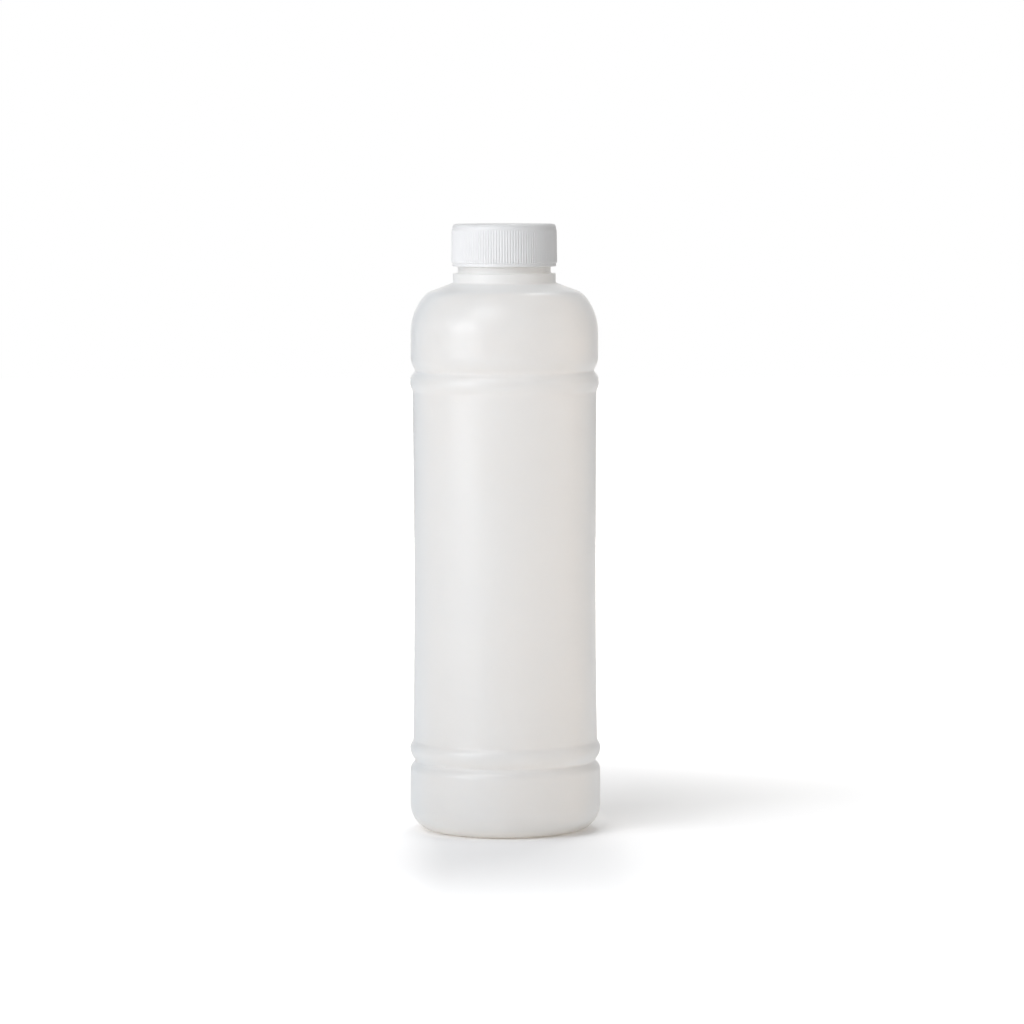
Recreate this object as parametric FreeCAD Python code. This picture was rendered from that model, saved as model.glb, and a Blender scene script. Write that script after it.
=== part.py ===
import FreeCAD, Part
import math
import os

from FreeCAD import Vector

# A blow-moulded cylindrical reagent bottle, its ribbed screw cap and the sealing liner inside the cap.
# Millimetres, +Z up. The origin is the centre of the ring that the bottle stands on.

# Bottle walls
BODY_WALL = 1.0
BASE_THICKNESS = 1.4
NECK_WALL = 2.6

# Base: a rounded foot that stands on a flat ring, with the floor pushed up inside the ring
BODY_DIAMETER = 73.5
BASE_CORNER_RADIUS = 9.8
BASE_BAND_HEIGHT = 23.3
REST_RING_WIDTH = 4.0
PUSH_UP = 4.0
PUSH_UP_SHARE = 0.85  # of the floor's two bends, the share that the dome in the middle takes

# Lower ring: a groove above the base band, then a bead. Depths are radial, from the body's diameter.
LOWER_GROOVE_DEPTH = 1.8
LOWER_GROOVE_FALL = 3.9
LOWER_BEAD_PROUD = 0.13
LOWER_BEAD_RISE = 4.8
LOWER_BEAD_FALL = 3.5

# Panel between the rings, drawn in a little at its middle
PANEL_FOOT_DEPTH = 1.09
PANEL_HEAD_DEPTH = 1.33
PANEL_LENGTH = 134.1
PANEL_WAIST = 0.4

# Upper ring: a bead above the panel, then a groove
UPPER_BEAD_DEPTH = 0.38
UPPER_BEAD_FALL = 4.3
UPPER_BEAD_RISE = 4.3
UPPER_GROOVE_DEPTH = 2.3
UPPER_GROOVE_FALL = 5.8

# How sharp the rings are: of each S-bend's two radii, the share at the groove or at the panel
GROOVE_SHARE = 0.13
PANEL_SHARE = 0.33

# Shoulder: a short upright band, a wide bend, a tighter bend, then a shallow cone up to the collar
SHOULDER_DEPTH = 0.68
SHOULDER_BAND_HEIGHT = 9.1
SHOULDER_RADIUS = 21.3
SHOULDER_TURN = 40.0  # degrees of the wide bend
SWEEP_RADIUS = 7.7
CONE_ANGLE = 20.0  # degrees above level
CONE_FOOT_RADIUS = 3.0

# Neck and collar
NECK_DIAMETER = 35.8
COLLAR_STEP = 1.85
COLLAR_HEIGHT = 3.75
COLLAR_FOOT_RADIUS = 0.8
COLLAR_EDGE_RADIUS = 0.5
NECK_FOOT_RADIUS = 0.4
NECK_SHOWING = 2.6  # bare neck between the collar and the closed cap
LIP_RADIUS = 0.6

# Screw thread, right-handed, with one start
THREAD_PITCH = 25.4 / 6
THREAD_DEPTH = 0.85
THREAD_SHARE = 0.5  # of the pitch, the width of a thread at its root
THREAD_FLANK = 35.0  # degrees between a flank and level
THREAD_RUN_OUT = 0.14  # of a turn, over which each end of a thread fades into its wall
THREAD_SINK = 0.4  # how far a thread's root reaches into its own wall
THREAD_STEPS = 18  # sections in a turn
NECK_THREAD_FOOT = 3.4  # from the cap's rim up to the end of the neck's thread
NECK_THREAD_HEAD = 2.6  # from the lip down to its start
CAP_THREAD_FOOT = 2.0  # the same for the cap's thread
CAP_THREAD_HEAD = 3.6

# Cap
CAP_HEIGHT = 16.4
CAP_TOP_THICKNESS = 1.6
CAP_WALL = 1.0
CAP_EDGE_RADIUS = 1.5
CAP_RIM_HEIGHT = 1.2  # smooth rim below the ribs
CAP_RIM_RADIUS = 0.3
RIB_COUNT = 120
RIB_DEPTH = 0.38
RIB_WIDTH = 0.85
RIB_SINK = 0.1  # how far a rib's root reaches into the skirt
RIB_TOP_GAP = 2.0  # from the cap's top down to the ribs

# Liner
LINER_THICKNESS = 1.2

# Clearances
THREAD_CLEARANCE = 0.25  # radial, between each thread's crest and the wall that it faces
FLANK_PLAY = 0.3  # along the axis, between the flanks that pull the cap down
LINER_CLEARANCE = 0.3  # radial, around the liner in the cap

OUTWARD = Vector(1, 0, 0)
UPWARD = Vector(0, 0, 1)
ORIGIN = Vector(0, 0, 0)

# Radii and heights of the body, from the base up
body_radius = BODY_DIAMETER / 2
rest_radius = body_radius - BASE_CORNER_RADIUS
dome_radius = rest_radius - REST_RING_WIDTH
lower_groove_z = BASE_BAND_HEIGHT + LOWER_GROOVE_FALL
lower_bead_z = lower_groove_z + LOWER_BEAD_RISE
panel_bottom_z = lower_bead_z + LOWER_BEAD_FALL
panel_top_z = panel_bottom_z + PANEL_LENGTH
upper_bead_z = panel_top_z + UPPER_BEAD_FALL
upper_groove_z = upper_bead_z + UPPER_BEAD_RISE
shoulder_z = upper_groove_z + UPPER_GROOVE_FALL
shoulder_top_z = shoulder_z + SHOULDER_BAND_HEIGHT

# Radii of the neck and of the cap around it
neck_radius = NECK_DIAMETER / 2
bore_radius = neck_radius - NECK_WALL
collar_radius = neck_radius + COLLAR_STEP
cap_bore_radius = neck_radius + THREAD_DEPTH + THREAD_CLEARANCE
skirt_radius = cap_bore_radius + CAP_WALL
liner_radius = cap_bore_radius - LINER_CLEARANCE


class Outline:
    """Edges drawn one after another in the XZ plane, each from where the last one ended."""

    def __init__(self, radius, height):
        self.point = Vector(radius, 0, height)
        self.edges = []

    def line_to(self, radius, height):
        end = Vector(radius, 0, height)
        self.edges.append(Part.makeLine(self.point, end))
        self.point = end

    def arc_to(self, middle, end):
        self.edges.append(Part.Arc(self.point, middle, end).toShape())
        self.point = end

    def bow_to(self, radius, height, depth):
        """A shallow bow, drawn in by depth at its middle."""
        end = Vector(radius, 0, height)
        pull = (self.point + end) / 2 - OUTWARD * (2 * depth)
        curve = Part.BezierCurve()
        curve.setPoles([self.point, pull, end])
        self.edges.append(curve.toShape())
        self.point = end

    def turn(self, radius, start_heading, end_heading):
        """An arc to the left that leaves at one heading and ends at another, in degrees from level."""

        def spoke(heading):
            angle = math.radians(heading)
            return Vector(math.sin(angle), 0, -math.cos(angle)) * radius

        centre = self.point - spoke(start_heading)
        middle = centre + spoke((start_heading + end_heading) / 2)
        self.arc_to(middle, centre + spoke(end_heading))

    def s_bend_to(self, radius, height, along, first_share, shift=0.0):
        """Two tangent arcs that leave and end along one direction. first_share of the sum of their radii is
        the first one's, and shift is added to it, which keeps the arcs of a parallel outline concentric."""
        end = Vector(radius, 0, height)
        reach = (end - self.point).dot(along)
        across = end - self.point - along * reach
        offset = across.Length
        side = across / offset
        both_radii = (reach**2 + offset**2) / (2 * offset)
        half_angle = math.atan2(offset, reach)

        def swing(arc_radius, angle):
            return along * (arc_radius * math.sin(angle)) + side * (arc_radius * (1 - math.cos(angle)))

        first_radius = both_radii * first_share + shift
        second_radius = both_radii - first_radius
        start = self.point
        self.arc_to(start + swing(first_radius, half_angle), start + swing(first_radius, 2 * half_angle))
        self.arc_to(end - swing(second_radius, half_angle), end)

    def rounded_to(self, corners, end):
        """Straight runs past corners (radius, height, rounding) to an end, with each corner rounded off."""
        points = [self.point]
        points += [Vector(radius, 0, height) for radius, height, _ in corners]
        points.append(end)
        for i, (_, _, rounding) in enumerate(corners, start=1):
            back = (points[i - 1] - points[i]).normalize()
            ahead = (points[i + 1] - points[i]).normalize()
            half_angle = back.getAngle(ahead) / 2
            tangent = rounding / math.tan(half_angle)
            depth = rounding / math.sin(half_angle) - rounding
            middle = points[i] + (back + ahead).normalize() * depth
            first = points[i] + back * tangent
            self.line_to(first.x, first.z)
            self.arc_to(middle, points[i] + ahead * tangent)
        self.line_to(end.x, end.z)


def revolved(edges):
    """The solid that a closed outline sweeps around the axis."""
    wire = Part.Wire(Part.__sortEdges__(edges))
    return Part.Face(wire).revolve(ORIGIN, UPWARD, 360)


def one_solid(shape):
    """The only solid in a shape, or an error."""
    solids = shape.Solids
    if len(solids) != 1 or not solids[0].isValid():
        raise ValueError(f"expected one valid solid, found {len(solids)}")
    return solids[0]


def body_outline(inset, floor):
    """The body from the axis at its floor to the foot of the shoulder cone, set in from the outside."""
    line = Outline(0, PUSH_UP + floor)
    line.s_bend_to(dome_radius, floor, OUTWARD, PUSH_UP_SHARE)
    line.line_to(rest_radius, floor)
    line.turn(BASE_CORNER_RADIUS - inset, 0, 90)
    edge = body_radius - inset
    line.line_to(edge, BASE_BAND_HEIGHT)
    line.s_bend_to(edge - LOWER_GROOVE_DEPTH, lower_groove_z, UPWARD, 1 - GROOVE_SHARE, -inset)
    line.s_bend_to(edge + LOWER_BEAD_PROUD, lower_bead_z, UPWARD, GROOVE_SHARE, inset)
    line.s_bend_to(edge - PANEL_FOOT_DEPTH, panel_bottom_z, UPWARD, 1 - PANEL_SHARE, -inset)
    line.bow_to(edge - PANEL_HEAD_DEPTH, panel_top_z, PANEL_WAIST)
    line.s_bend_to(edge - UPPER_BEAD_DEPTH, upper_bead_z, UPWARD, PANEL_SHARE, inset)
    line.s_bend_to(edge - UPPER_GROOVE_DEPTH, upper_groove_z, UPWARD, 1 - GROOVE_SHARE, -inset)
    line.s_bend_to(edge - SHOULDER_DEPTH, shoulder_z, UPWARD, GROOVE_SHARE, inset)
    line.line_to(edge - SHOULDER_DEPTH, shoulder_top_z)
    line.turn(SHOULDER_RADIUS - inset, 90, 90 + SHOULDER_TURN)
    line.turn(SWEEP_RADIUS - inset, 90 + SHOULDER_TURN, 180 - CONE_ANGLE)
    return line


def cone_height(foot, radius):
    """The height at which a shoulder cone that starts at foot comes in to a radius."""
    return foot.z + (foot.x - radius) * math.tan(math.radians(CONE_ANGLE))


outside = body_outline(0, 0)
inside = body_outline(BODY_WALL, BASE_THICKNESS)

# Heights from the collar to the top of the cap
collar_z = cone_height(outside.point, collar_radius)
collar_top_z = collar_z + COLLAR_HEIGHT
cap_z = collar_top_z + NECK_SHOWING
cap_top_z = cap_z + CAP_HEIGHT
liner_top_z = cap_top_z - CAP_TOP_THICKNESS
lip_z = liner_top_z - LINER_THICKNESS
neck_thread_z = cap_z + NECK_THREAD_FOOT


def thread_section(root_radius, outwards, depth, height, turn):
    """One radial section of a thread that stands on its root radius, outwards (1) or inwards (-1)."""
    slope = math.tan(math.radians(THREAD_FLANK))
    root_half = THREAD_PITCH * THREAD_SHARE / 2
    sunk_half = root_half + THREAD_SINK * slope
    crest_half = root_half - depth * slope
    sunk_radius = root_radius - outwards * THREAD_SINK
    crest_radius = root_radius + outwards * depth
    corners = [
        (sunk_radius, -sunk_half),
        (crest_radius, -crest_half),
        (crest_radius, crest_half),
        (sunk_radius, sunk_half),
    ]
    angle = 2 * math.pi * turn
    points = [
        Vector(radius * math.cos(angle), radius * math.sin(angle), height + rise)
        for radius, rise in corners
    ]
    return Part.makePolygon(points + points[:1])


def thread(root_radius, outwards, lead_z, bottom, top):
    """A thread between two heights of its centre line, on the helix that passes lead_z at +X.
    At both ends it sinks into its wall."""
    first_turn = (bottom - lead_z) / THREAD_PITCH
    turns = (top - bottom) / THREAD_PITCH
    steps = math.ceil(turns * THREAD_STEPS)
    end_depth = -THREAD_SINK / 2
    sections = []
    for i in range(steps + 1):
        along = turns * i / steps
        to_end = min(along, turns - along) / THREAD_RUN_OUT
        rise = math.sin(min(to_end, 1) * math.pi / 2)
        depth = end_depth + (THREAD_DEPTH - end_depth) * rise
        height = bottom + along * THREAD_PITCH
        sections.append(thread_section(root_radius, outwards, depth, height, first_turn + along))
    return Part.makeLoft(sections, True)


def make_bottle():
    foot = inside.point
    corners = [
        (collar_radius, collar_z, COLLAR_FOOT_RADIUS),
        (collar_radius, collar_top_z, COLLAR_EDGE_RADIUS),
        (neck_radius, collar_top_z, NECK_FOOT_RADIUS),
        (neck_radius, lip_z, LIP_RADIUS),
        (bore_radius, lip_z, LIP_RADIUS),
        (bore_radius, cone_height(foot, bore_radius), CONE_FOOT_RADIUS),
    ]
    neck = Outline(outside.point.x, outside.point.z)
    neck.rounded_to(corners, foot)
    axis = Outline(0, PUSH_UP)
    axis.line_to(0, PUSH_UP + BASE_THICKNESS)
    shell = revolved(outside.edges + neck.edges + inside.edges + axis.edges)
    top = lip_z - NECK_THREAD_HEAD
    neck_thread = thread(neck_radius, 1, neck_thread_z, neck_thread_z, top)
    return one_solid(shell.fuse(neck_thread))


def make_rib():
    """The rib at +X, from the smooth rim to a little below the cap's top edge."""
    rim_z = cap_z + CAP_RIM_HEIGHT
    sunk_radius = skirt_radius - RIB_SINK
    left = Vector(sunk_radius, RIB_WIDTH / 2, rim_z)
    right = Vector(sunk_radius, -RIB_WIDTH / 2, rim_z)
    bump = Part.Arc(left, Vector(skirt_radius + RIB_DEPTH, 0, rim_z), right).toShape()
    section = Part.Face(Part.Wire([bump, Part.makeLine(right, left)]))
    return section.extrude(UPWARD * (cap_top_z - RIB_TOP_GAP - rim_z))


def make_cap():
    blank = Outline(0, cap_z)
    corners = [
        (skirt_radius, cap_z, CAP_RIM_RADIUS),
        (skirt_radius, cap_top_z, CAP_EDGE_RADIUS),
    ]
    blank.rounded_to(corners, Vector(0, 0, cap_top_z))
    blank.line_to(0, cap_z)
    bore = Part.makeCylinder(cap_bore_radius, liner_top_z - cap_z, Vector(0, 0, cap_z))
    slope = math.tan(math.radians(THREAD_FLANK))
    flank_width = THREAD_PITCH * THREAD_SHARE - (THREAD_DEPTH + THREAD_CLEARANCE) * slope
    lead_z = neck_thread_z - flank_width - FLANK_PLAY
    bottom = cap_z + CAP_THREAD_FOOT
    cap_thread = thread(cap_bore_radius, -1, lead_z, bottom, lip_z - CAP_THREAD_HEAD)
    plain_cap = revolved(blank.edges).cut(bore).fuse(cap_thread)
    rib = make_rib()
    ribs = []
    for i in range(RIB_COUNT):
        ribs.append(rib.rotated(ORIGIN, UPWARD, 360 * i / RIB_COUNT))
    return one_solid(plain_cap.fuse(ribs))


def make_liner():
    return Part.makeCylinder(liner_radius, LINER_THICKNESS, Vector(0, 0, lip_z))


NODES = {
    "bottle": make_bottle,
    "screw_cap": make_cap,
    "cap_liner": make_liner,
}

os.makedirs("parts", exist_ok=True)
for name, make in NODES.items():
    solid = make()
    solid.exportStep(f"parts/{name}.step")
    print(f"{name}: {solid.Volume / 1000:.3f} cm3")
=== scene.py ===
import math

import bmesh
import bpy
import numpy as np
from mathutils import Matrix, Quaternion, Vector


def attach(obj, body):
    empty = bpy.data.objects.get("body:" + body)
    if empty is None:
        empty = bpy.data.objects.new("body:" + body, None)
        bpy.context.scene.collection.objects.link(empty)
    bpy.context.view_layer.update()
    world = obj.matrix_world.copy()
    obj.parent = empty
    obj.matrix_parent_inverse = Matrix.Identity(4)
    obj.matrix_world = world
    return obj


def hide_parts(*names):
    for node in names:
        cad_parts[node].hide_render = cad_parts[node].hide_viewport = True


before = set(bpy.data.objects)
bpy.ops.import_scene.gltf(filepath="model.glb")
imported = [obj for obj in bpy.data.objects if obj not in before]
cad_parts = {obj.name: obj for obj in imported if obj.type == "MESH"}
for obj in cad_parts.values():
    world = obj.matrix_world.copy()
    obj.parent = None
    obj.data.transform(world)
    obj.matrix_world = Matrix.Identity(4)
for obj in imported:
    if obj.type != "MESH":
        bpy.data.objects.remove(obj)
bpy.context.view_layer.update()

# The looks of a blow-moulded reagent bottle of natural polyethylene, its ribbed screw cap and the foam
# liner in the cap. Shapes are worked out in millimetres and turned into metres as meshes are made.
MM = 0.001
SAME = 1e-6  # lengths nearer than this are the same

# Bottle body, from the base up. Depths are radial, from the body's radius. A share is the part of an
# s-bend's two radii that the named arc takes.
BODY_RADIUS = 36.75
BODY_WALL = 1.0
BASE_THICKNESS = 1.4
BASE_CORNER_RADIUS = 9.8
BASE_BAND_HEIGHT = 23.3
REST_RING_WIDTH = 4.0
PUSH_UP = 4.0
PUSH_UP_SHARE = 0.85
LOWER_GROOVE_DEPTH = 1.8
LOWER_GROOVE_FALL = 3.9
LOWER_BEAD_PROUD = 0.13
LOWER_BEAD_RISE = 4.8
LOWER_BEAD_FALL = 3.5
PANEL_FOOT_DEPTH = 1.09
PANEL_HEAD_DEPTH = 1.33
PANEL_LENGTH = 134.1
PANEL_WAIST = 0.4
UPPER_BEAD_DEPTH = 0.38
UPPER_BEAD_FALL = 4.3
UPPER_BEAD_RISE = 4.3
UPPER_GROOVE_DEPTH = 2.3
UPPER_GROOVE_FALL = 5.8
GROOVE_SHARE = 0.13
PANEL_SHARE = 0.33
SHOULDER_DEPTH = 0.68
SHOULDER_BAND_HEIGHT = 9.1
SHOULDER_RADIUS = 21.3
SHOULDER_TURN = 40.0
SWEEP_RADIUS = 7.7
CONE_ANGLE = 20.0
CONE_FOOT_RADIUS = 3.0

# Neck, collar and lip
NECK_RADIUS = 17.9
NECK_WALL = 2.6
COLLAR_STEP = 1.85
COLLAR_HEIGHT = 3.75
COLLAR_FOOT_RADIUS = 0.8
COLLAR_EDGE_RADIUS = 0.5
NECK_FOOT_RADIUS = 0.4
NECK_SHOWING = 2.6
LIP_RADIUS = 0.6

# Screw thread
THREAD_PITCH = 25.4 / 6
THREAD_DEPTH = 0.85
THREAD_SHARE = 0.5  # of the pitch, at the thread's root
THREAD_FLANK = 35.0  # degrees from square to the wall
THREAD_RUN_OUT = 0.14  # turns over which a thread's end fades
THREAD_ROUNDING = 0.12  # how softly a thread's corners are rounded
NECK_THREAD_FOOT = 3.4
NECK_THREAD_HEAD = 2.6
CAP_THREAD_FOOT = 2.0
CAP_THREAD_HEAD = 3.6
THREAD_CLEARANCE = 0.25
FLANK_PLAY = 0.3

# Cap and liner
CAP_HEIGHT = 16.4
CAP_TOP_THICKNESS = 1.6
CAP_WALL = 1.0
CAP_EDGE_RADIUS = 1.5
CAP_RIM_HEIGHT = 1.2
CAP_RIM_RADIUS = 0.3
RIB_COUNT = 120
RIB_FOOT_DEPTH = 0.38
RIB_HEAD_DEPTH = 0.25
RIB_TOP_GAP = 1.7
LINER_THICKNESS = 1.2
LINER_CLEARANCE = 0.3

# Headings of an outline in degrees, and the longest steps along its runs
UP = 90.0
OUT = 0.0
INWARDS = 180.0
OUTSIDE_STEP = 2.2
INSIDE_STEP = 4.0


class Outline:
    """Points along runs and arcs in a plane of radius (real) and height (imaginary), in millimetres."""

    ARC_STEP = 0.75
    ARC_TURN = math.radians(9)
    LEAST_ARC_STEPS = 3
    EDGE_STEP = 0.2

    def __init__(self, radius, height, run_step, edge_step=EDGE_STEP):
        self.points = [complex(radius, height)]
        self.run_step = run_step
        self.edge_step = edge_step

    @property
    def end(self):
        return self.points[-1]

    def line_to(self, radius, height):
        """A straight run with a short step at each end, so that smooth shading stays flat between them."""
        start = self.end
        span = complex(radius, height) - start
        length = abs(span)
        if length < SAME:
            return
        stops = [length]
        if length > 3 * self.edge_step:
            inner = length - 2 * self.edge_step
            count = math.ceil(inner / self.run_step)
            stops = [self.edge_step + inner * i / count for i in range(count + 1)] + [length]
        self.points += [start + span * stop / length for stop in stops]

    def bow_to(self, radius, height, depth):
        """A long curve whose middle lies nearer to the axis by a depth."""
        start = self.end
        end = complex(radius, height)
        pull = (start + end) / 2 - 2 * depth
        count = math.ceil(abs(end - start) / self.run_step)
        for i in range(1, count + 1):
            done = i / count
            left = 1 - done
            self.points.append(left**2 * start + 2 * done * left * pull + done * done * end)

    def turn(self, radius, start_heading, end_heading):
        """An arc between two headings in degrees, to the left where the radius is positive."""
        first, last = math.radians(start_heading), math.radians(end_heading)
        centre = self.end + 1j * radius * np.exp(1j * first)
        sweep = abs(last - first)
        by_turn = math.ceil(sweep / self.ARC_TURN)
        by_length = math.ceil(abs(radius) * sweep / self.ARC_STEP)
        count = max(self.LEAST_ARC_STEPS, by_turn, by_length)
        for heading in np.linspace(first, last, count + 1)[1:]:
            self.points.append(centre - 1j * radius * np.exp(1j * heading))

    def s_bend_to(self, radius, height, heading, first_share, shift=0.0):
        """Two tangent arcs that leave and end along one heading."""
        span = (complex(radius, height) - self.end) * np.exp(-1j * math.radians(heading))
        side = math.copysign(1, span.imag)
        both_radii = abs(span) ** 2 / (2 * abs(span.imag))
        bend = side * 2 * math.degrees(math.atan2(abs(span.imag), span.real))
        first_radius = both_radii * first_share + shift
        self.turn(side * first_radius, heading, heading + bend)
        self.turn(-side * (both_radii - first_radius), heading + bend, heading)

    def rounded_to(self, corners, end):
        """Straight runs past corners (radius, height, rounding) to an end, each corner rounded off."""
        points = [self.end] + [complex(radius, height) for radius, height, _ in corners] + [end]
        for before, corner, after, (_, _, rounding) in zip(points, points[1:], points[2:], corners):
            arrive, leave = corner - before, after - corner
            turn = np.angle(leave / arrive)
            start = corner - arrive / abs(arrive) * rounding * math.tan(abs(turn) / 2)
            self.line_to(start.real, start.imag)
            heading = math.degrees(np.angle(arrive))
            self.turn(math.copysign(rounding, turn), heading, heading + math.degrees(turn))
        self.line_to(end.real, end.imag)


lower_groove_z = BASE_BAND_HEIGHT + LOWER_GROOVE_FALL
lower_bead_z = lower_groove_z + LOWER_BEAD_RISE
panel_bottom_z = lower_bead_z + LOWER_BEAD_FALL
panel_top_z = panel_bottom_z + PANEL_LENGTH
upper_bead_z = panel_top_z + UPPER_BEAD_FALL
upper_groove_z = upper_bead_z + UPPER_BEAD_RISE
shoulder_z = upper_groove_z + UPPER_GROOVE_FALL
shoulder_top_z = shoulder_z + SHOULDER_BAND_HEIGHT
rest_radius = BODY_RADIUS - BASE_CORNER_RADIUS
dome_radius = rest_radius - REST_RING_WIDTH
bore_radius = NECK_RADIUS - NECK_WALL
collar_radius = NECK_RADIUS + COLLAR_STEP
cap_bore_radius = NECK_RADIUS + THREAD_DEPTH + THREAD_CLEARANCE
skirt_radius = cap_bore_radius + CAP_WALL
liner_radius = cap_bore_radius - LINER_CLEARANCE


def body_outline(inset, floor, run_step):
    """The body from the axis at its floor to the foot of the shoulder cone, set in from the outside."""
    line = Outline(0, PUSH_UP + floor, run_step)
    edge = BODY_RADIUS - inset
    line.s_bend_to(dome_radius, floor, OUT, PUSH_UP_SHARE)
    line.line_to(rest_radius, floor)
    line.turn(BASE_CORNER_RADIUS - inset, OUT, UP)
    line.line_to(edge, BASE_BAND_HEIGHT)
    line.s_bend_to(edge - LOWER_GROOVE_DEPTH, lower_groove_z, UP, 1 - GROOVE_SHARE, -inset)
    line.s_bend_to(edge + LOWER_BEAD_PROUD, lower_bead_z, UP, GROOVE_SHARE, inset)
    line.s_bend_to(edge - PANEL_FOOT_DEPTH, panel_bottom_z, UP, 1 - PANEL_SHARE, -inset)
    line.bow_to(edge - PANEL_HEAD_DEPTH, panel_top_z, PANEL_WAIST)
    line.s_bend_to(edge - UPPER_BEAD_DEPTH, upper_bead_z, UP, PANEL_SHARE, inset)
    line.s_bend_to(edge - UPPER_GROOVE_DEPTH, upper_groove_z, UP, 1 - GROOVE_SHARE, -inset)
    line.s_bend_to(edge - SHOULDER_DEPTH, shoulder_z, UP, GROOVE_SHARE, inset)
    line.line_to(edge - SHOULDER_DEPTH, shoulder_top_z)
    line.turn(SHOULDER_RADIUS - inset, UP, UP + SHOULDER_TURN)
    line.turn(SWEEP_RADIUS - inset, UP + SHOULDER_TURN, INWARDS - CONE_ANGLE)
    return line


def cone_height(foot, radius):
    """The height at which a shoulder cone that starts at foot comes in to a radius."""
    return foot.imag + (foot.real - radius) * math.tan(math.radians(CONE_ANGLE))


outside = body_outline(0, 0, OUTSIDE_STEP)
inside = body_outline(BODY_WALL, BASE_THICKNESS, INSIDE_STEP)
collar_z = cone_height(outside.end, collar_radius)
collar_top_z = collar_z + COLLAR_HEIGHT
cap_z = collar_top_z + NECK_SHOWING
cap_top_z = cap_z + CAP_HEIGHT
liner_top_z = cap_top_z - CAP_TOP_THICKNESS
lip_z = liner_top_z - LINER_THICKNESS
neck_thread_z = cap_z + NECK_THREAD_FOOT
flank_slope = math.tan(math.radians(THREAD_FLANK))
cap_lead_z = (
    neck_thread_z
    - (THREAD_PITCH * THREAD_SHARE - (THREAD_DEPTH + THREAD_CLEARANCE) * flank_slope)
    - FLANK_PLAY
)


def soft_min(a, b, rounding):
    """The lesser of two values, rounded off where they cross."""
    return (a + b - np.sqrt((a - b) ** 2 + rounding**2)) / 2


def thread_height(angle, height, lead_z, bottom, top):
    """How far a thread stands out of its wall at an angle and a height."""
    turns = (top - bottom) / THREAD_PITCH
    first_turn = (bottom - lead_z) / THREAD_PITCH
    root_half = THREAD_PITCH * THREAD_SHARE / 2
    lowest = math.floor(first_turn) - 1
    highest = math.ceil(first_turn + turns) + 1
    out = np.zeros(np.broadcast(angle, height).shape)
    for lap in range(lowest, highest):
        along = angle / math.tau + lap - first_turn
        to_end = np.clip(np.minimum(along, turns - along) / THREAD_RUN_OUT, 0, 1)
        crest = THREAD_DEPTH * np.sin(to_end * math.pi / 2)
        rise = height - (bottom + along * THREAD_PITCH)
        flank = (root_half - np.abs(rise)) / flank_slope
        out = np.maximum(out, soft_min(flank, crest, THREAD_ROUNDING))
    return np.where(out > 0, out, 0)


def angle_at(angles, index):
    """A ring's angle by its index, which may count on past a full turn."""
    laps, place = divmod(index, len(angles))
    return angles[place] + math.tau * laps


class Skin:
    """A mesh grown ring by ring. A ring is an array of angles, each with its radius and height."""

    def __init__(self):
        self.points = []
        self.faces = []
        self.looks = []
        self.rings = []
        self.look = 0  # which of the piece's materials new faces wear

    def add_faces(self, faces):
        self.faces += faces
        self.looks += [self.look] * len(faces)

    def ring(self, angles, radius, height):
        radius = np.broadcast_to(np.asarray(radius, float), angles.shape)
        height = np.broadcast_to(np.asarray(height, float), angles.shape)
        first = len(self.points)
        self.points += list(zip(radius * np.cos(angles), radius * np.sin(angles), height))
        self.rings.append((first, angles))
        if len(self.rings) > 1:
            self.bridge(self.rings[-2], self.rings[-1])

    def close(self, ring, height):
        """Closes the skin from a ring to a point on the axis."""
        first, angles = ring
        count = len(angles)
        tip = len(self.points)
        self.points.append((0.0, 0.0, height))
        self.add_faces([(first + i, first + (i + 1) % count, tip) for i in range(count)])

    def bridge(self, lower, upper):
        """Faces between two rings: quads where they have the same angles, or else triangles in turn."""
        low, low_angles = lower
        high, high_angles = upper
        low_count, high_count = len(low_angles), len(high_angles)
        if np.array_equal(low_angles, high_angles):
            sides = [(i, (i + 1) % low_count) for i in range(low_count)]
            self.add_faces([(low + i, low + k, high + k, high + i) for i, k in sides])
            return
        i = j = 0
        faces = []
        while i < low_count or j < high_count:
            next_low = angle_at(low_angles, i + 1) if i < low_count else math.inf
            next_high = angle_at(high_angles, j + 1) if j < high_count else math.inf
            low_corner, high_corner = low + i % low_count, high + j % high_count
            if next_low <= next_high:
                i += 1
                faces.append((low_corner, low + i % low_count, high_corner))
            else:
                j += 1
                faces.append((low_corner, high + j % high_count, high_corner))
        self.add_faces(faces)

    def make(self, name):
        """The finished object, smooth all over, with every face turned outwards."""
        mesh = bpy.data.meshes.new(name)
        mesh.from_pydata((np.array(self.points) * MM).tolist(), [], self.faces)
        mesh.polygons.foreach_set("material_index", self.looks)
        mesh.polygons.foreach_set("use_smooth", [True] * len(self.faces))
        work = bmesh.new()
        work.from_mesh(mesh)
        bmesh.ops.recalc_face_normals(work, faces=work.faces)
        work.to_mesh(mesh)
        work.free()
        made = bpy.data.objects.new(name, mesh)
        bpy.context.scene.collection.objects.link(made)
        return made


def even_angles(count):
    return np.arange(count) * (math.tau / count)


def smooth_step(value, start, end):
    """From 0 at the start to 1 at the end, level at both."""
    done = np.clip((value - start) / (end - start), 0, 1)
    return done * done * (3 - 2 * done)


# Bottle

BOTTLE_COLUMNS = 192
BORE_COLUMNS = 80
CONE_STEP = 1.0
NECK_STEP = 0.2
NECK_EDGE_STEP = 0.1
BORE_STEP = 1.2

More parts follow.
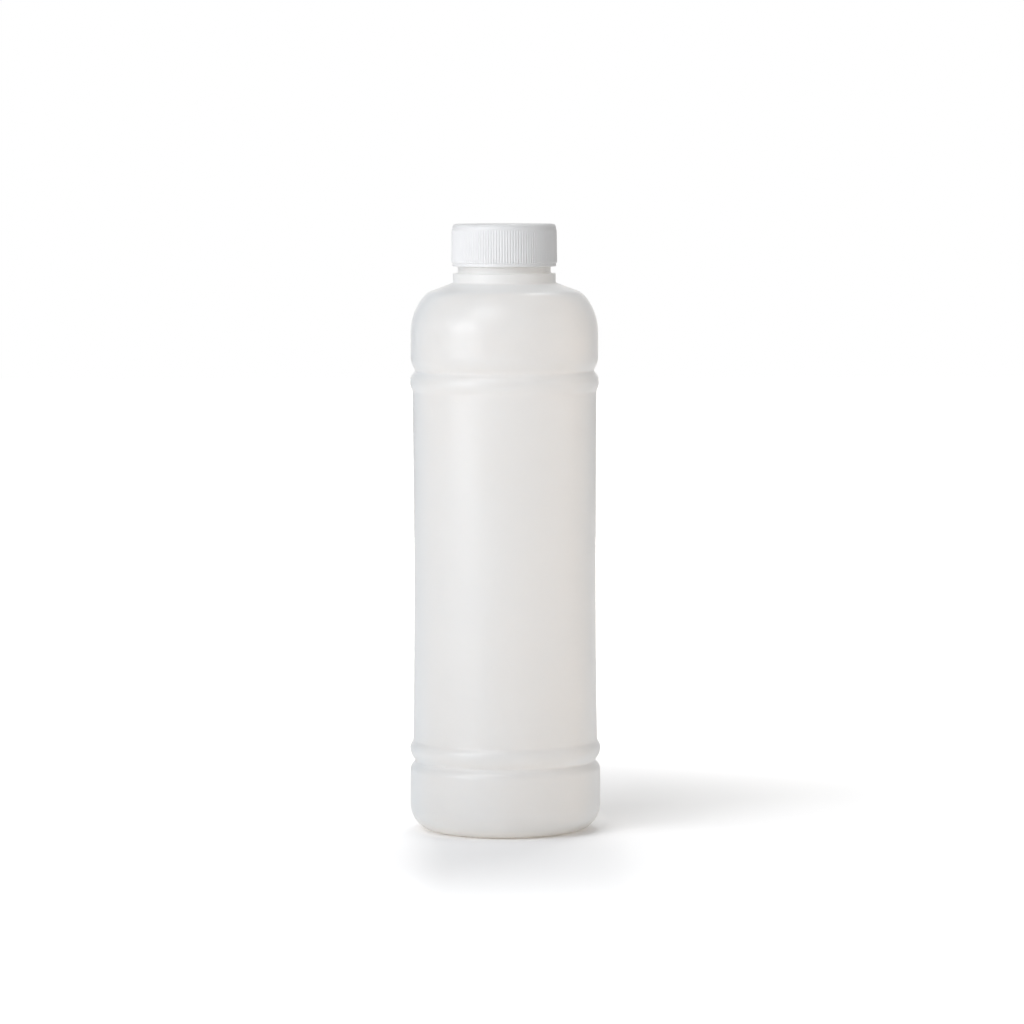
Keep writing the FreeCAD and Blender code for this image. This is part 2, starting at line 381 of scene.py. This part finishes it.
# Marks of the mould, in millimetres: a parting line on each side, the weld where the base was pinched
# shut, and the slight unevenness of a blown wall. A range is of the heights where a mark grows or fades.
SEAM_PROUD = 0.07
SEAM_WIDTH = 0.26
SEAM_COLUMNS = (0.004, 0.008, 0.014)  # radians to each side
SEAM_RANGE = (0.5, 4.0)
PINCH_PROUD = 0.35
PINCH_WIDTH = 0.6
PINCH_REACH = 15.0
PINCH_FADE = 4.0
UNEVEN = 0.06
UNEVEN_RANGE = (8.0, 30.0)
UNEVEN_END = (shoulder_top_z + 12.0, shoulder_top_z - 8.0)
# Each wave: its count around, its phase there, the height that turns it by a radian, its phase upwards
WAVES = ((2, 0.4, 31.0, 1.1), (3, -1.2, 19.0, 0.0))

seam_columns = [side + way * turn for side in (0, math.pi) for turn in SEAM_COLUMNS for way in (-1, 1)]
bottle_angles = np.concatenate([even_angles(BOTTLE_COLUMNS), seam_columns])
bottle_angles = np.sort(np.mod(bottle_angles, math.tau))


def mould_marks(angles, point):
    """How far the outside stands out of its outline all round at one of the outline's points."""
    radius, height = point.real, point.imag
    across = radius * np.sin(angles)
    along = radius * np.abs(np.cos(angles))
    if radius < rest_radius and height < PUSH_UP + SAME:
        weld = PINCH_PROUD * np.exp(-((across / PINCH_WIDTH) ** 4))
        return weld * smooth_step(along, PINCH_REACH, PINCH_REACH - PINCH_FADE)
    seam = SEAM_PROUD * np.exp(-((across / SEAM_WIDTH) ** 2)) * smooth_step(height, *SEAM_RANGE)
    uneven = UNEVEN * smooth_step(height, *UNEVEN_RANGE) * smooth_step(height, *UNEVEN_END)
    waves = sum(
        np.cos(count * angles + turn) * math.cos(height / length + start)
        for count, turn, length, start in WAVES
    )
    return seam + uneven * waves


def make_bottle():
    """The bottle grows from the middle of its underside up the outside to the lip, and down the inside."""
    neck = Outline(outside.end.real, outside.end.imag, CONE_STEP, NECK_EDGE_STEP)
    collar_middle = complex(collar_radius, (collar_z + collar_top_z) / 2)
    neck.rounded_to([(collar_radius, collar_z, COLLAR_FOOT_RADIUS)], collar_middle)
    neck.run_step = NECK_STEP
    neck.rounded_to(
        [
            (collar_radius, collar_top_z, COLLAR_EDGE_RADIUS),
            (NECK_RADIUS, collar_top_z, NECK_FOOT_RADIUS),
            (NECK_RADIUS, lip_z, LIP_RADIUS),
        ],
        complex((NECK_RADIUS + bore_radius) / 2, lip_z),
    )
    foot = inside.end
    bore = Outline(neck.end.real, neck.end.imag, BORE_STEP)
    bore.rounded_to(
        [
            (bore_radius, lip_z, LIP_RADIUS),
            (bore_radius, cone_height(foot, bore_radius), CONE_FOOT_RADIUS),
        ],
        foot,
    )
    skin = Skin()
    line = np.array(outside.points + neck.points[1:])
    ways = np.gradient(line)
    thread_top = lip_z - NECK_THREAD_HEAD
    for point, way in list(zip(line, ways))[1:]:
        if point.imag < collar_top_z:
            place = point - 1j * way / abs(way) * mould_marks(bottle_angles, point)
        elif abs(point.real - NECK_RADIUS) < SAME:
            thread = thread_height(bottle_angles, point.imag, neck_thread_z, neck_thread_z, thread_top)
            place = point + thread
        else:
            place = point
        skin.ring(bottle_angles, np.real(place), np.imag(place))
    skin.close(skin.rings[0], PUSH_UP - PINCH_PROUD)
    bore_angles = even_angles(BORE_COLUMNS)
    for point in bore.points[1:] + inside.points[-2:0:-1]:
        skin.look = int(point.imag < lip_z - LIP_RADIUS)
        skin.ring(bore_angles, point.real, point.imag)
    skin.close(skin.rings[-1], PUSH_UP + BASE_THICKNESS)
    return skin.make("bottle_shell")


# Cap

RIB_POINTS = 8
RIB_FLATNESS = 1.15  # over 1, so that the grooves between ribs are narrower than the ribs
RIB_RISE = 0.4
RIB_SINK = 0.1  # how far below their foot the ribs start to rise
RIB_FALL = 1.2
RIB_RISE_RINGS = 6
RIB_RINGS = 10  # in the ribs' middle, and again where they fade out above it
RIM_CHAMFER = 0.25
CAP_EDGE_RUN = 0.1  # what is left of the flat past the rounded edge, before the top's own rings
CAP_COLUMNS = 240
CAP_STEP = 0.8
CAP_BORE_STEP = 0.3
GATE_COLUMNS = 60
GATE_REACH = 3.2
GATE_RADIUS = 2.4
GATE_FLOOR_RADIUS = 1.68
GATE_DEPTH = 0.22
GATE_NUB_RADIUS = 0.7
GATE_NUB_TOP_RADIUS = 0.42
GATE_NUB = 0.16
GATE_STEP = 0.15


def rib_height(angles, height):
    """How far the ribs stand out of the skirt at a height. They thin upwards and fade out at both ends."""
    foot, head = cap_z + CAP_RIM_HEIGHT, cap_top_z - RIB_TOP_GAP
    depth = RIB_FOOT_DEPTH + (RIB_HEAD_DEPTH - RIB_FOOT_DEPTH) * (height - foot) / (head - foot)
    rise = smooth_step(height, foot - RIB_SINK, foot + RIB_RISE)
    fall = smooth_step(height, head, head - RIB_FALL)
    wave = (np.cos(RIB_COUNT * angles) + RIB_FLATNESS) / (1 + RIB_FLATNESS)
    return depth * rise * fall * np.sqrt(np.clip(wave, 0, 1))


def gate_height(radius):
    """The mark of the moulding gate in the middle of the top: a shallow dish with a cut nub in it."""
    dish = GATE_DEPTH * smooth_step(radius, GATE_RADIUS, GATE_FLOOR_RADIUS)
    nub = GATE_NUB * smooth_step(radius, GATE_NUB_RADIUS, GATE_NUB_TOP_RADIUS)
    return cap_top_z - dish + nub


def make_cap():
    """The cap grows from its rim up the outside to the middle of the top, then from the rim up inside."""
    skin = Skin()
    rib_angles, plain_angles = even_angles(RIB_COUNT * RIB_POINTS), even_angles(CAP_COLUMNS)
    rib_foot, rib_head = cap_z + CAP_RIM_HEIGHT, cap_top_z - RIB_TOP_GAP
    rim = Outline(cap_bore_radius + RIM_CHAMFER, cap_z, CAP_STEP)
    rim.rounded_to([(skirt_radius, cap_z, CAP_RIM_RADIUS)], complex(skirt_radius, rib_foot - 2 * RIB_SINK))
    for point in rim.points:
        skin.ring(rib_angles, point.real, point.imag)
    rise = np.linspace(rib_foot - RIB_SINK, rib_foot + RIB_RISE, RIB_RISE_RINGS)
    fall = np.linspace(rib_head - RIB_FALL, rib_head, RIB_RINGS)
    between = np.linspace(rise[-1], fall[0], RIB_RINGS)[1:-1]
    for height in [*rise, *between, *fall]:
        skin.ring(rib_angles, skirt_radius + rib_height(rib_angles, height), height)
    edge = Outline(skirt_radius, rib_head, CAP_STEP)
    flat_radius = skirt_radius - CAP_EDGE_RADIUS - CAP_EDGE_RUN
    edge.rounded_to([(skirt_radius, cap_top_z, CAP_EDGE_RADIUS)], complex(flat_radius, cap_top_z))
    for point in edge.points[1:]:
        skin.ring(plain_angles, point.real, point.imag)
    for radius in np.arange(edge.end.real - CAP_STEP, GATE_REACH, -CAP_STEP):
        skin.ring(plain_angles, radius, cap_top_z)
    for radius in np.arange(GATE_REACH, GATE_STEP, -GATE_STEP):
        skin.ring(even_angles(GATE_COLUMNS), radius, gate_height(radius))
    skin.close(skin.rings[-1], gate_height(0))
    skin.rings.append(skin.rings[0])
    bore = Outline(cap_bore_radius + RIM_CHAMFER, cap_z, CAP_BORE_STEP)
    bore.line_to(cap_bore_radius, cap_z + RIM_CHAMFER)
    bore.rounded_to([(cap_bore_radius, liner_top_z, CAP_RIM_RADIUS)], complex(CAP_STEP, liner_top_z))
    thread_bottom, thread_top = cap_z + CAP_THREAD_FOOT, lip_z - CAP_THREAD_HEAD
    for point in bore.points[1:]:
        radius = point.real
        if abs(radius - cap_bore_radius) < SAME:
            thread = thread_height(plain_angles, point.imag, cap_lead_z, thread_bottom, thread_top)
            radius = radius - thread
        skin.ring(plain_angles, radius, point.imag)
    skin.close(skin.rings[-1], liner_top_z)
    return skin.make("ribbed_cap")


# Liner

LINER_COLUMNS = 160
LINER_STEP = 0.4
LINER_EDGE = 0.15
LIP_MARK = 0.12
LIP_MARK_EDGE = 0.35


def make_liner():
    """A disc whose underside keeps the ring that the bottle's lip presses into it."""
    skin = Skin()
    line = Outline(LINER_STEP, lip_z, LINER_STEP)
    line.rounded_to(
        [(liner_radius, lip_z, LINER_EDGE), (liner_radius, liner_top_z, LINER_EDGE)],
        complex(LINER_STEP, liner_top_z),
    )
    for point in line.points:
        height = point.imag
        if height < lip_z + SAME:
            inner = smooth_step(point.real, bore_radius - LIP_MARK_EDGE, bore_radius + LIP_MARK_EDGE)
            outer = smooth_step(point.real, NECK_RADIUS + LIP_MARK_EDGE, NECK_RADIUS - LIP_MARK_EDGE)
            height = height + LIP_MARK * inner * outer
        skin.ring(even_angles(LINER_COLUMNS), point.real, height)
    skin.close(skin.rings[0], lip_z)
    skin.close(skin.rings[-1], liner_top_z)
    return skin.make("foam_liner")


# Materials. Lengths in them are in metres.

NOISE_RANGE = (0.3, 0.7)  # where most of a noise's values lie

# Polyethylene. Shares are of the light that a wall takes in: what goes on through it, and how much of
# that is left where the wall is thick or is met at a slant.
OUTER_THROUGH = 0.62
INNER_THROUGH = 0.95
NECK_THROUGH = 0.48
HEEL_THROUGH = 0.5
SLANT_THROUGH = 0.6
SLANT_RANGE = (0.3, 0.85)
CLOUDING = 0.02
CLOUD_SCALE = 28
CLOUD_STRETCH = (1, 1, 0.4)
# The heel's warm colour is painted light: it stands in for the warm light that comes through the plastic
# at the foot.
PAINTED_WARM_HEEL_COLOUR = (0.9, 0.89, 0.86, 1)
BODY_COLOUR = (0.79, 0.91, 1.0, 1)
NECK_COLOUR = (0.91, 0.94, 0.95, 1)
THROUGH_COLOUR = (1.0, 0.96, 0.925, 1)
# The heights over which the heel turns into the body, and the body into the neck
HEEL_RANGE = (0.001, 0.009)
NECK_RANGE = ((collar_z - 1.5) * MM, collar_z * MM)
BODY_STAGE = 0.5  # where the body lies between the heel at 0 and the neck at 1
BODY_ROUGHNESS = (0.29, 0.34)
NECK_DULLING = 0.2
SMEAR_SCALE = 160
SMEAR_STRETCH = (1, 1, 0.2)
SKIN_GLOSS = 0.8
SKIN_ROUGHNESS = 0.3
BOTTLE_GRAIN = (900, 0.000004)  # scale and depth

# Polypropylene
CAP_COLOURS = ((0.84, 0.841, 0.842, 1), (0.865, 0.864, 0.863, 1))
CAP_CLOUD_SCALE = 70
CAP_ROUGHNESS = (0.36, 0.46)
CAP_SMEAR_SCALE = 220
CAP_GRAIN = (1500, 0.000006)

# Foam
# The foam's tone, darker towards the middle of each cell: partly its own speckle and partly painted shade
# in the dimples
FOAM_SPECKLE_AND_SHADE_COLOURS = ((0.8, 0.8, 0.77, 1), (0.9, 0.9, 0.88, 1))
FOAM_ROUGHNESS = (0.9, 0.7)
FOAM_SCALE = 1600
CELL_WIDTH = 0.8
CELL_DEPTH = 0.00008


def add(tree, kind, inputs=(), **settings):
    """A shader node with its settings, and with values or other nodes' outputs on its inputs."""
    made = tree.nodes.new("ShaderNode" + kind)
    for name, value in settings.items():
        setattr(made, name, value)
    for name, value in dict(inputs).items():
        if isinstance(value, bpy.types.NodeSocket):
            tree.links.new(value, made.inputs[name])
        else:
            made.inputs[name].default_value = value
    return made


def ramp(tree, value, start, end, low, high):
    """A value carried smoothly from one range to another."""
    ends = {"Value": value, "From Min": start, "From Max": end, "To Min": low, "To Max": high}
    return add(tree, "MapRange", ends, interpolation_type="SMOOTHSTEP").outputs["Result"]


def times(tree, a, b):
    return add(tree, "Math", {0: a, 1: b}, operation="MULTIPLY").outputs[0]


def plus(tree, a, b):
    return add(tree, "Math", {0: a, 1: b}, operation="ADD").outputs[0]


def greater(tree, a, b):
    return add(tree, "Math", {0: a, 1: b}, operation="MAXIMUM").outputs[0]


def noise(tree, place, scale, detail=2.0, stretch=(1, 1, 1)):
    """Noise in spots of about a metre over scale, drawn out along an axis whose stretch is under 1."""
    place = add(tree, "Mapping", {"Vector": place, "Scale": stretch}).outputs[0]
    return add(tree, "TexNoise", {"Vector": place, "Scale": scale, "Detail": detail}).outputs["Fac"]


def material(name):
    """A new material, its node tree, its shader and the place on the piece."""
    made = bpy.data.materials.new(name)
    made.use_nodes = True
    tree = made.node_tree
    return made, tree, tree.nodes["Principled BSDF"], add(tree, "TexCoord").outputs["Object"]


def grain(tree, shader, place, scale, depth):
    """A fine unevenness that only the gloss shows."""
    bump = add(tree, "Bump", {"Height": noise(tree, place, scale), "Distance": depth, "Strength": 1.0})
    tree.links.new(bump.outputs["Normal"], shader.inputs["Normal"])


def polyethylene(name, is_outer):
    """Milky plastic: its wall sends a bluish part of the light back and lets a warm part through."""
    made, tree, shader, place = material(name)
    height = add(tree, "SeparateXYZ", {0: place}).outputs["Z"]
    body = ramp(tree, height, *HEEL_RANGE, 0.0, 1.0)
    neck = ramp(tree, height, *NECK_RANGE, 0.0, 1.0)
    stage = times(tree, plus(tree, body, neck), BODY_STAGE)
    # The base colour runs from the heel's painted warm light through the bluish body to the neutral neck.
    tint = add(tree, "ValToRGB", {0: stage})
    tint.color_ramp.elements.new(BODY_STAGE)
    for stop, colour in zip(tint.color_ramp.elements, (PAINTED_WARM_HEEL_COLOUR, BODY_COLOUR, NECK_COLOUR)):
        stop.color = colour
    tree.links.new(tint.outputs["Color"], shader.inputs["Base Color"])

    smear = noise(tree, place, SMEAR_SCALE, detail=4, stretch=SMEAR_STRETCH)
    smear = ramp(tree, smear, *NOISE_RANGE, *BODY_ROUGHNESS)
    dulling = ramp(tree, neck, 0.0, 1.0, 0.0, NECK_DULLING)
    tree.links.new(plus(tree, smear, dulling), shader.inputs["Roughness"])
    tree.links.new(ramp(tree, neck, 0.0, 1.0, SKIN_GLOSS, 0.0), shader.inputs["Coat Weight"])
    shader.inputs["Coat Roughness"].default_value = SKIN_ROUGHNESS
    shader.inputs["Specular IOR Level"].default_value = 1.0
    grain(tree, shader, place, *BOTTLE_GRAIN)

    share = OUTER_THROUGH if is_outer else INNER_THROUGH
    cloud = noise(tree, place, CLOUD_SCALE, detail=3, stretch=CLOUD_STRETCH)
    through = ramp(tree, cloud, *NOISE_RANGE, share * (1 - CLOUDING), share * (1 + CLOUDING))
    slant = add(tree, "LayerWeight", {"Blend": 0.5}).outputs["Facing"]
    through = times(tree, through, ramp(tree, slant, *SLANT_RANGE, 1.0, SLANT_THROUGH))
    through = times(tree, through, ramp(tree, body, 0.0, 1.0, HEEL_THROUGH, 1.0))
    through = times(tree, through, ramp(tree, neck, 0.0, 1.0, 1.0, NECK_THROUGH if is_outer else 1.0))
    lit = add(tree, "BsdfTranslucent", {"Color": THROUGH_COLOUR})
    mix = add(tree, "MixShader", {0: through, 1: shader.outputs[0], 2: lit.outputs[0]})
    tree.links.new(mix.outputs[0], tree.nodes["Material Output"].inputs["Surface"])
    return made


def polypropylene():
    """Satin white plastic, a little cloudy and smeared."""
    made, tree, shader, place = material("white_polypropylene")
    tint = add(tree, "ValToRGB", {0: noise(tree, place, CAP_CLOUD_SCALE, detail=3)})
    for stop, spot, colour in zip(tint.color_ramp.elements, NOISE_RANGE, CAP_COLOURS):
        stop.position = spot
        stop.color = colour
    tree.links.new(tint.outputs["Color"], shader.inputs["Base Color"])
    smear = noise(tree, place, CAP_SMEAR_SCALE, detail=3)
    tree.links.new(ramp(tree, smear, *NOISE_RANGE, *CAP_ROUGHNESS), shader.inputs["Roughness"])
    grain(tree, shader, place, *CAP_GRAIN)
    return made


def foam():
    """Matt white foam whose cells show as dimples."""
    made, tree, shader, place = material("liner_foam")
    cells = add(tree, "TexVoronoi", {"Vector": place, "Scale": FOAM_SCALE}).outputs["Distance"]
    # Each cell is painted darker towards its middle, where its dimple dips: painted shade as well as
    # speckle
    tint = add(tree, "ValToRGB", {0: cells})
    for stop, colour in zip(tint.color_ramp.elements, FOAM_SPECKLE_AND_SHADE_COLOURS):
        stop.color = colour
    tree.links.new(tint.outputs["Color"], shader.inputs["Base Color"])
    tree.links.new(ramp(tree, cells, 0.0, CELL_WIDTH, *FOAM_ROUGHNESS), shader.inputs["Roughness"])
    bump = add(tree, "Bump", {"Height": cells, "Distance": CELL_DEPTH})
    tree.links.new(bump.outputs["Normal"], shader.inputs["Normal"])
    return made


def dress(piece, body, node, slot, *looks):
    """Gives a piece its materials and body and hides the solid it stands for; the slot is not used."""
    for look in looks:
        piece.data.materials.append(look)
    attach(piece, body)
    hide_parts(node)


outer_wall = polyethylene("natural_polyethylene", is_outer=True)
inner_wall = polyethylene("natural_polyethylene_inside", is_outer=False)
dress(make_bottle(), "bottle", "bottle", "natural_hdpe", outer_wall, inner_wall)
dress(make_cap(), "cap", "screw_cap", "white_pp", polypropylene())
dress(make_liner(), "liner", "cap_liner", "liner_foam", foam())

# Studio

scene = bpy.context.scene
scene.view_settings.view_transform = "Standard"
scene.cycles.diffuse_bounces = 10  # light crosses four faces to pass the bottle once
scene.cycles.max_bounces = 16

# Camera. Lengths are in millimetres and the roll is in radians.
CAMERA_DISTANCE = 1850.0
CAMERA_HEIGHT = 255.85
LOOK_HEIGHT = 123.38
CAMERA_SIDE = 2.78
CAMERA_ROLL = -0.0021
FOCAL_PIXELS = 4792.6
IMAGE_PIXELS = 1024
SENSOR = 36.0

camera_data = bpy.data.cameras.new("camera")
camera_data.sensor_width = SENSOR
camera_data.lens = FOCAL_PIXELS / IMAGE_PIXELS * SENSOR
camera = bpy.data.objects.new("camera", camera_data)
scene.collection.objects.link(camera)
camera.location = Vector((CAMERA_SIDE, -CAMERA_DISTANCE, CAMERA_HEIGHT)) * MM
sight = Vector((CAMERA_SIDE, 0, LOOK_HEIGHT)) * MM - camera.location
camera.rotation_mode = "QUATERNION"
camera.rotation_quaternion = sight.to_track_quat("-Z", "Y") @ Quaternion((0, 0, 1), CAMERA_ROLL)
scene.camera = camera

# Lamps and world. Lengths are in metres.
LAMP_TARGET = Vector((0, 0, 0.11))
COOL = (0.95, 0.965, 1.0)
WARM = (1.0, 0.975, 0.95)
WORLD_LIGHT = 0.23
BEHIND_RANGE = (0.85, 0.97)  # how far back a direction points where the gloss turns white


def soft_lamp(name, azimuth, elevation, distance, size, power, colour=(1, 1, 1)):
    """An area lamp that faces the bottle. Azimuth 0 is the camera's side and 90 its right."""
    data = bpy.data.lights.new(name, "AREA")
    data.shape = "RECTANGLE"
    data.size, data.size_y = size
    data.energy = power
    data.color = colour
    lamp = bpy.data.objects.new(name, data)
    scene.collection.objects.link(lamp)
    turn, rise = math.radians(azimuth), math.radians(elevation)
    away = Vector((math.sin(turn) * math.cos(rise), -math.cos(turn) * math.cos(rise), math.sin(rise)))
    lamp.location = LAMP_TARGET + away * distance
    lamp.rotation_mode = "QUATERNION"
    lamp.rotation_quaternion = (-away).to_track_quat("-Z", "Y")
    return lamp


soft_lamp("key", azimuth=-29, elevation=44, distance=1.5, size=(0.8, 0.7), power=5.9, colour=COOL)
soft_lamp("left", azimuth=-49, elevation=14, distance=1.25, size=(0.75, 0.55), power=6.7, colour=COOL)
soft_lamp("right", azimuth=75, elevation=14, distance=1.4, size=(1.0, 1.0), power=2.7, colour=WARM)
soft_lamp("top", azimuth=165, elevation=62, distance=1.2, size=(0.4, 0.4), power=2.6)
backdrop = soft_lamp(
    "back", azimuth=180, elevation=15, distance=1.4, size=(1.6, 1.0), power=7.8, colour=WARM
)
backdrop.visible_glossy = False

# The world is white to the camera, through the bottle's walls and, low behind the bottle, in its gloss.
world = bpy.data.worlds.new("studio")
scene.world = world
world.use_nodes = True
tree = world.node_tree
path = add(tree, "LightPath").outputs
ahead = add(tree, "SeparateXYZ", {0: add(tree, "TexCoord").outputs["Generated"]}).outputs["Y"]
mirrored = times(tree, path["Is Glossy Ray"], ramp(tree, ahead, *BEHIND_RANGE, 0.0, 1.0))
seen = greater(tree, path["Is Camera Ray"], path["Is Transmission Ray"])
level = greater(tree, greater(tree, seen, mirrored), WORLD_LIGHT)
tree.links.new(level, tree.nodes["Background"].inputs["Strength"])
tree.nodes["Background"].inputs["Color"].default_value = (1, 1, 1, 1)

# Floor. A glow that only the camera sees lifts it to white away from the bottle. It grows in steps,
# each over a range in metres: near, pool and far by the distance from the bottle, and left and right
# by X. The step on the right is only in front of the bottle, by Y. The glow is kept low at the foot and
# in a pool whose middle lies behind the bottle, so the grey there is real shadow deepened by painted
# shade: a painted contact shadow and a painted shadow pool. The left and right steps are painted light
# that lifts the real shadow there.
FLOOR_HALF = 4.0
FLOOR_COLOUR = (0.92, 0.92, 0.92, 1)
FLOOR_ROUGHNESS = 0.9
# The glow is least at the foot, a painted contact shadow, and rises over the near range
CONTACT_SHADE_GLOW = 0.06
NEAR_GLOW = 0.15
NEAR_RANGE = (0.033, 0.047)
SHADE_POOL_GLOW = 0.17
SHADE_POOL_RANGE = (0.045, 0.24)
SHADE_POOL_SHAPE = (1.8, 0.8, 1)  # the painted shadow pool is narrower than it is deep
SHADE_POOL_SHIFT = (0, -0.034, 0)  # its middle lies behind the bottle, where it paints the shadow deeper
FAR_GLOW = 0.8
FAR_RANGE = (0.12, 0.5)
# Painted light that lifts the real shadow, on the left and in front on the right
LEFT_GLOW = 0.15
LEFT_RANGE = (-0.041, -0.021)
RIGHT_GLOW = 0.06
RIGHT_RANGE = (0.035, 0.055)
FRONT_RANGE = (-0.03, 0.02)

floor_mesh = bpy.data.meshes.new("floor")
corners = [(-1, -1), (1, -1), (1, 1), (-1, 1)]
floor_mesh.from_pydata([(x * FLOOR_HALF, y * FLOOR_HALF, 0) for x, y in corners], [], [(0, 1, 2, 3)])
floor = bpy.data.objects.new("floor", floor_mesh)
scene.collection.objects.link(floor)
paper, tree, shader, place = material("floor_paper")
shader.inputs["Base Color"].default_value = FLOOR_COLOUR
shader.inputs["Roughness"].default_value = FLOOR_ROUGHNESS
shader.inputs["Specular IOR Level"].default_value = 0.0
shader.inputs["Emission Color"].default_value = (1, 1, 1, 1)
# The painted shadow pool: the glow is least in its middle, behind the bottle
pool = {0: place, 1: SHADE_POOL_SHAPE, 2: SHADE_POOL_SHIFT}
drawn_in = add(tree, "VectorMath", pool, operation="MULTIPLY_ADD").outputs["Vector"]
across_shade_pool = add(tree, "VectorMath", {0: drawn_in}, operation="LENGTH").outputs["Value"]
away = add(tree, "VectorMath", {0: place}, operation="LENGTH").outputs["Value"]
glow = ramp(tree, away, *NEAR_RANGE, CONTACT_SHADE_GLOW, NEAR_GLOW)
glow = plus(tree, glow, ramp(tree, across_shade_pool, *SHADE_POOL_RANGE, 0.0, SHADE_POOL_GLOW))
glow = plus(tree, glow, ramp(tree, away, *FAR_RANGE, 0.0, FAR_GLOW))
spot = add(tree, "SeparateXYZ", {0: place}).outputs
left = ramp(tree, spot["X"], *LEFT_RANGE, LEFT_GLOW, 0.0)
right = ramp(tree, spot["X"], *RIGHT_RANGE, 0.0, RIGHT_GLOW)
front = ramp(tree, spot["Y"], *FRONT_RANGE, 1.0, 0.0)
glow = plus(tree, glow, plus(tree, left, times(tree, front, right)))
glow = times(tree, add(tree, "LightPath").outputs["Is Camera Ray"], glow)
tree.links.new(glow, shader.inputs["Emission Strength"])
floor_mesh.materials.append(paper)
